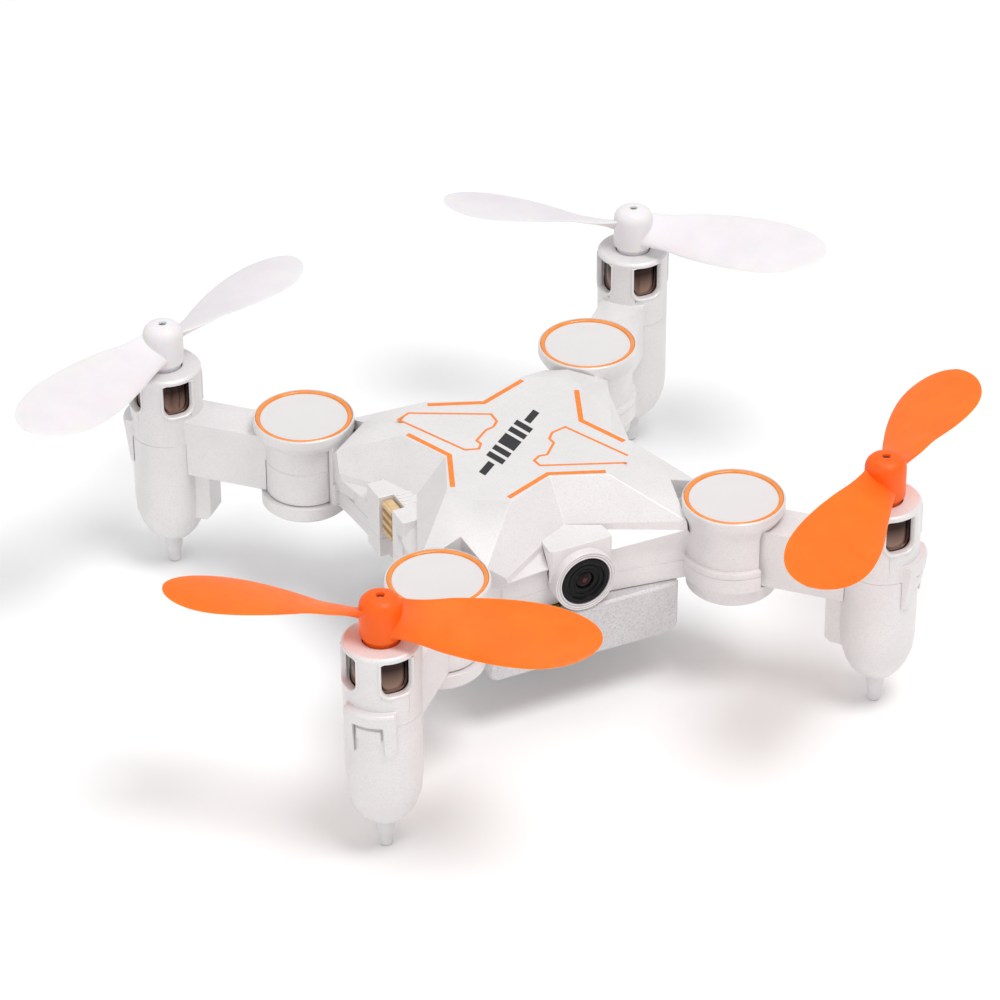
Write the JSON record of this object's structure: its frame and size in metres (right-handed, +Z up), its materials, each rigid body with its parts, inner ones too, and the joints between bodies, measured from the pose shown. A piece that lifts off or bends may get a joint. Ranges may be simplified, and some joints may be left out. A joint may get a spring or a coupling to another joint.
{
  "type": "mini palm drone",
  "caption": "Folding palm-sized camera quadcopter: pearl white shells, orange hinge rings, orange front and white rear propellers, slide-in battery, foot pins.",
  "frame": {"origin": "On the ground plane, midway between the four foot pins.", "axes": "+Z up, the camera looks along -Y, +X to the right of a person who faces the camera. The motors stand at (+-32, +-32) mm with the arms unfolded. Names end in fl, fr, bl, br: front or back, left (-X) or right (+X)."},
  "size_m": [0.1067, 0.0992, 0.0346],
  "materials": {
    "pearl_shell": "fine pearl white",
    "orange_plastic": "glossy",
    "orange_prop": "slightly translucent",
    "white_prop": "translucent",
    "clear_foot": "translucent soft",
    "motor_metal": "polished can",
    "gloss_black": "glossy",
    "lens_glass": "dark coated",
    "silver_battery": "fine metallic grain",
    "cell_wrap": "foil wrap",
    "brass_contact": "bright",
    "nylon_connector": "nylon",
    "white_nylon": "nylon",
    "circuit_board": "solder mask",
    "chip_black": "moulded",
    "lead_wire": "insulated",
    "steel_screw": "plated"
  },
  "bodies": {
    "airframe": {"upper_shell": "pearl_shell", "lower_shell": "pearl_shell", "main_board": "circuit_board", "board_chips": "chip_black", "antenna": "lead_wire", "charge_socket": "nylon_connector", "camera_barrel": "gloss_black", "camera_lens": "lens_glass", "camera_module": "chip_black", "hinge_screws": "steel_screw", "shell_screws": "steel_screw", "hinge_cap_fl": "pearl_shell", "hinge_cap_fr": "pearl_shell", "hinge_cap_bl": "pearl_shell", "hinge_cap_br": "pearl_shell", "hinge_ring_fl": "orange_plastic", "hinge_ring_fr": "orange_plastic", "hinge_ring_bl": "orange_plastic", "hinge_ring_br": "orange_plastic"},
    "battery": {"battery_case": "silver_battery", "battery_cell": "cell_wrap", "battery_contacts": "brass_contact"},
    "arm_fl": {"arm_upper_fl": "pearl_shell", "arm_lower_fl": "pearl_shell", "motor_can_fl": "motor_metal", "motor_end_cap_fl": "white_nylon", "motor_leads_fl": "lead_wire", "foot_fl": "clear_foot"},
    "rotor_fl": {"propeller_fl": "orange_prop", "motor_shaft_fl": "steel_screw"},
    "arm_fr": {"arm_upper_fr": "pearl_shell", "arm_lower_fr": "pearl_shell", "motor_can_fr": "motor_metal", "motor_end_cap_fr": "white_nylon", "motor_leads_fr": "lead_wire", "foot_fr": "clear_foot"},
    "rotor_fr": {"propeller_fr": "orange_prop", "motor_shaft_fr": "steel_screw"},
    "arm_bl": {"arm_upper_bl": "pearl_shell", "arm_lower_bl": "pearl_shell", "motor_can_bl": "motor_metal", "motor_end_cap_bl": "white_nylon", "motor_leads_bl": "lead_wire", "foot_bl": "clear_foot"},
    "rotor_bl": {"propeller_bl": "white_prop", "motor_shaft_bl": "steel_screw"},
    "arm_br": {"arm_upper_br": "pearl_shell", "arm_lower_br": "pearl_shell", "motor_can_br": "motor_metal", "motor_end_cap_br": "white_nylon", "motor_leads_br": "lead_wire", "foot_br": "clear_foot"},
    "rotor_br": {"propeller_br": "white_prop", "motor_shaft_br": "steel_screw"}
  },
  "joints": [
    {"name": "arm_fold_fl", "type": "hinge", "parent": "airframe", "child": "arm_fl", "pos_m": [-0.0192, -0.0192, 0.019], "axis": [0, 0, 1], "range_deg": [0, 110]},
    {"name": "arm_fold_fr", "type": "hinge", "parent": "airframe", "child": "arm_fr", "pos_m": [0.0192, -0.0192, 0.019], "axis": [0, 0, 1], "range_deg": [0, 110]},
    {"name": "arm_fold_bl", "type": "hinge", "parent": "airframe", "child": "arm_bl", "pos_m": [-0.0192, 0.0192, 0.019], "axis": [0, 0, 1], "range_deg": [0, 110]},
    {"name": "arm_fold_br", "type": "hinge", "parent": "airframe", "child": "arm_br", "pos_m": [0.0192, 0.0192, 0.019], "axis": [0, 0, 1], "range_deg": [0, 110]},
    {"name": "propeller_spin_fl", "type": "hinge", "parent": "arm_fl", "child": "rotor_fl", "pos_m": [-0.032, -0.032, 0.03], "axis": [0, 0, 1], "continuous": true},
    {"name": "propeller_spin_fr", "type": "hinge", "parent": "arm_fr", "child": "rotor_fr", "pos_m": [0.032, -0.032, 0.03], "axis": [0, 0, 1], "continuous": true},
    {"name": "propeller_spin_bl", "type": "hinge", "parent": "arm_bl", "child": "rotor_bl", "pos_m": [-0.032, 0.032, 0.03], "axis": [0, 0, 1], "continuous": true},
    {"name": "propeller_spin_br", "type": "hinge", "parent": "arm_br", "child": "rotor_br", "pos_m": [0.032, 0.032, 0.03], "axis": [0, 0, 1], "continuous": true},
    {"name": "battery_slide", "type": "slide", "parent": "airframe", "child": "battery", "axis": [0, -1, 0], "range_m": [-0.026, 0]}
  ]
}
